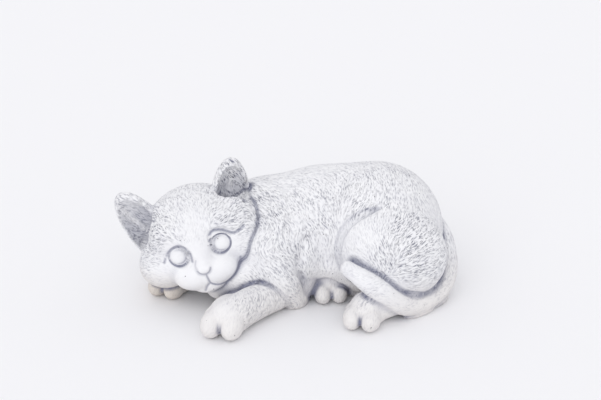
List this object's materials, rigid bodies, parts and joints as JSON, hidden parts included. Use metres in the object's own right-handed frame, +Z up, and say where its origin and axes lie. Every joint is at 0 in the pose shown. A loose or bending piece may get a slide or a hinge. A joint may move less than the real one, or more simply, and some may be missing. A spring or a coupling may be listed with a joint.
{
  "type": "stone cat statue",
  "caption": "Small solid cast stone cat lying curled, its chin over a forepaw and its tail laid round a hind foot, to stand on a shelf or in a garden.",
  "frame": {"origin": "on the ground under the middle of the statue's bounding box", "axes": "+Z up; +X from the cat's head to its rump, along its length; -Y to the front, where its face and feet are"},
  "size_m": [0.2456, 0.1326, 0.1006],
  "materials": {
    "cast_stone": "matte cast stone, off-white, with a blue-grey wash in the carved recesses"
  },
  "bodies": {
    "root": {"cat": "cast_stone"}
  },
  "joints": []
}
